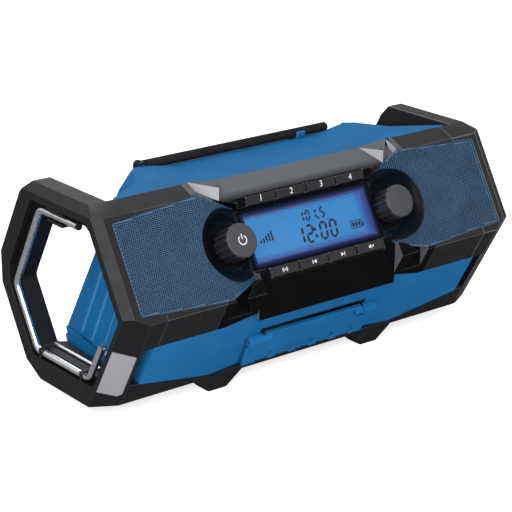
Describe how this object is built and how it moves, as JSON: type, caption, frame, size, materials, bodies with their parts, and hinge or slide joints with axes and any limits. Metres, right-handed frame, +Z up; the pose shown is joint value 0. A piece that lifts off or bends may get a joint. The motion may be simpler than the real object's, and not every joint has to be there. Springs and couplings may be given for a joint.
{
  "type": "jobsite radio",
  "caption": "Rugged six-sided jobsite radio with open end loops, dished speaker grilles, a leaning front with display, knobs and buttons, folding aerial, hook and slide-in battery.",
  "frame": {"origin": "on the surface that the feet rest on, under the middle of the radio's box", "axes": "+X along the length towards the end without the hook, -Y towards the user at the front, +Z up"},
  "size_m": [0.36, 0.164, 0.1615],
  "materials": {
    "blue_shell": "fine-grained moulded blue",
    "black_plastic": "fine-grained moulded black",
    "console_grey": "fine-grained dark grey",
    "light_grey": "satin light grey",
    "grille_mesh": "blue painted perforated sheet",
    "knob_black": "satin black",
    "button_grey": "satin dark grey",
    "clear_window": "clear",
    "lit_display": "backlit blue",
    "circuit_board": "solder mask green",
    "steel": "zinc plated",
    "contact_brass": "plain",
    "speaker_paper": "pressed paper black",
    "magnet": "dark ferrite",
    "cell_wrap": "shrink wrap",
    "hook_chrome": "polished",
    "tip_rubber": "matt",
    "foot_rubber": "matt",
    "aerial_black": "satin",
    "battery_black": "fine-grained moulded black",
    "latch_red": "satin red"
  },
  "bodies": {
    "radio": {"main_housing": "blue_shell", "rear_housing": "black_plastic", "base_tray": "black_plastic", "left_end_frame": "black_plastic", "right_end_frame": "black_plastic", "left_bezel": "black_plastic", "right_bezel": "black_plastic", "centre_console": "console_grey", "left_grille": "grille_mesh", "right_grille": "grille_mesh", "left_speaker_basket": "steel", "right_speaker_basket": "steel", "left_speaker_cone": "speaker_paper", "right_speaker_cone": "speaker_paper", "left_speaker_magnet": "magnet", "right_speaker_magnet": "magnet", "display_window": "clear_window", "lcd_module": "lit_display", "control_board": "circuit_board", "main_board": "circuit_board", "left_encoder": "steel", "right_encoder": "steel", "battery_rails": "black_plastic", "terminal_block": "contact_brass", "compartment_tub": "black_plastic", "aux_jack": "black_plastic", "usb_socket": "steel", "backup_cells": "cell_wrap", "door_hinge_pins": "steel", "hinge_ears": "blue_shell", "hook_clip": "black_plastic", "hook_saddles": "black_plastic", "hook_spring_bar": "hook_chrome", "hook_cover": "light_grey", "hook_stop_pin": "hook_chrome", "aerial_bracket": "black_plastic", "aerial_pin": "steel", "aerial_clip": "blue_shell", "feet": "foot_rubber", "base_screws": "steel", "rear_screws": "steel"},
    "left_plunger": {"left_encoder_stem": "steel"},
    "right_plunger": {"right_encoder_stem": "steel"},
    "left_knob": {"left_knob": "knob_black"},
    "right_knob": {"right_knob": "knob_black"},
    "aerial": {"aerial": "aerial_black"},
    "hook": {"hook": "hook_chrome", "hook_tip": "tip_rubber"},
    "service_door": {"service_door": "blue_shell"},
    "battery": {"battery_case": "battery_black", "battery_cells": "cell_wrap"},
    "battery_latch": {"battery_latch": "latch_red"},
    "preset_button_1": {"preset_button_1": "button_grey"},
    "function_button_1": {"function_button_1": "button_grey"},
    "preset_button_2": {"preset_button_2": "button_grey"},
    "function_button_2": {"function_button_2": "button_grey"},
    "preset_button_3": {"preset_button_3": "button_grey"},
    "function_button_3": {"function_button_3": "button_grey"},
    "preset_button_4": {"preset_button_4": "button_grey"},
    "function_button_4": {"function_button_4": "button_grey"}
  },
  "joints": [
    {"name": "left_knob_push", "type": "slide", "parent": "radio", "child": "left_plunger", "axis": [0, 0.866, -0.5], "range_m": [0, 0.0007], "stiffness_N_per_m": 1500, "springref_m": -0.0007},
    {"name": "left_knob_turn", "type": "hinge", "parent": "left_plunger", "child": "left_knob", "pos_m": [-0.0738, -0.062, 0.12064], "axis": [0, -0.866, 0.5], "continuous": true},
    {"name": "right_knob_push", "type": "slide", "parent": "radio", "child": "right_plunger", "axis": [0, 0.866, -0.5], "range_m": [0, 0.0007], "stiffness_N_per_m": 1500, "springref_m": -0.0007},
    {"name": "right_knob_turn", "type": "hinge", "parent": "right_plunger", "child": "right_knob", "pos_m": [0.0738, -0.062, 0.12064], "axis": [0, -0.866, 0.5], "continuous": true},
    {"name": "preset_1_press", "type": "slide", "parent": "radio", "child": "preset_button_1", "axis": [0, 0.866, -0.5], "range_m": [0, 0.0008], "stiffness_N_per_m": 800, "springref_m": -0.0008},
    {"name": "function_1_press", "type": "slide", "parent": "radio", "child": "function_button_1", "axis": [0, 0.866, -0.5], "range_m": [0, 0.0008], "stiffness_N_per_m": 800, "springref_m": -0.0008},
    {"name": "preset_2_press", "type": "slide", "parent": "radio", "child": "preset_button_2", "axis": [0, 0.866, -0.5], "range_m": [0, 0.0008], "stiffness_N_per_m": 800, "springref_m": -0.0008},
    {"name": "function_2_press", "type": "slide", "parent": "radio", "child": "function_button_2", "axis": [0, 0.866, -0.5], "range_m": [0, 0.0008], "stiffness_N_per_m": 800, "springref_m": -0.0008},
    {"name": "preset_3_press", "type": "slide", "parent": "radio", "child": "preset_button_3", "axis": [0, 0.866, -0.5], "range_m": [0, 0.0008], "stiffness_N_per_m": 800, "springref_m": -0.0008},
    {"name": "function_3_press", "type": "slide", "parent": "radio", "child": "function_button_3", "axis": [0, 0.866, -0.5], "range_m": [0, 0.0008], "stiffness_N_per_m": 800, "springref_m": -0.0008},
    {"name": "preset_4_press", "type": "slide", "parent": "radio", "child": "preset_button_4", "axis": [0, 0.866, -0.5], "range_m": [0, 0.0008], "stiffness_N_per_m": 800, "springref_m": -0.0008},
    {"name": "function_4_press", "type": "slide", "parent": "radio", "child": "function_button_4", "axis": [0, 0.866, -0.5], "range_m": [0, 0.0008], "stiffness_N_per_m": 800, "springref_m": -0.0008},
    {"name": "aerial_fold", "type": "hinge", "parent": "radio", "child": "aerial", "pos_m": [-0.092, 0.03, 0.158], "axis": [0, -1, 0], "range_deg": [0, 90]},
    {"name": "hook_swing", "type": "hinge", "parent": "radio", "child": "hook", "pos_m": [-0.1765, 0, 0.0328], "axis": [0, -1, 0], "range_deg": [0, 70]},
    {"name": "door_open", "type": "hinge", "parent": "radio", "child": "service_door", "pos_m": [0, -0.05571, 0.03986], "axis": [-1, 0, 0], "range_deg": [0, 110]},
    {"name": "battery_slide", "type": "slide", "parent": "radio", "child": "battery", "axis": [0, 1, 0], "range_m": [0, 0.12]},
    {"name": "battery_latch_press", "type": "slide", "parent": "battery", "child": "battery_latch", "axis": [0, -1, 0], "range_m": [0, 0.003], "stiffness_N_per_m": 600, "springref_m": -0.003}
  ]
}
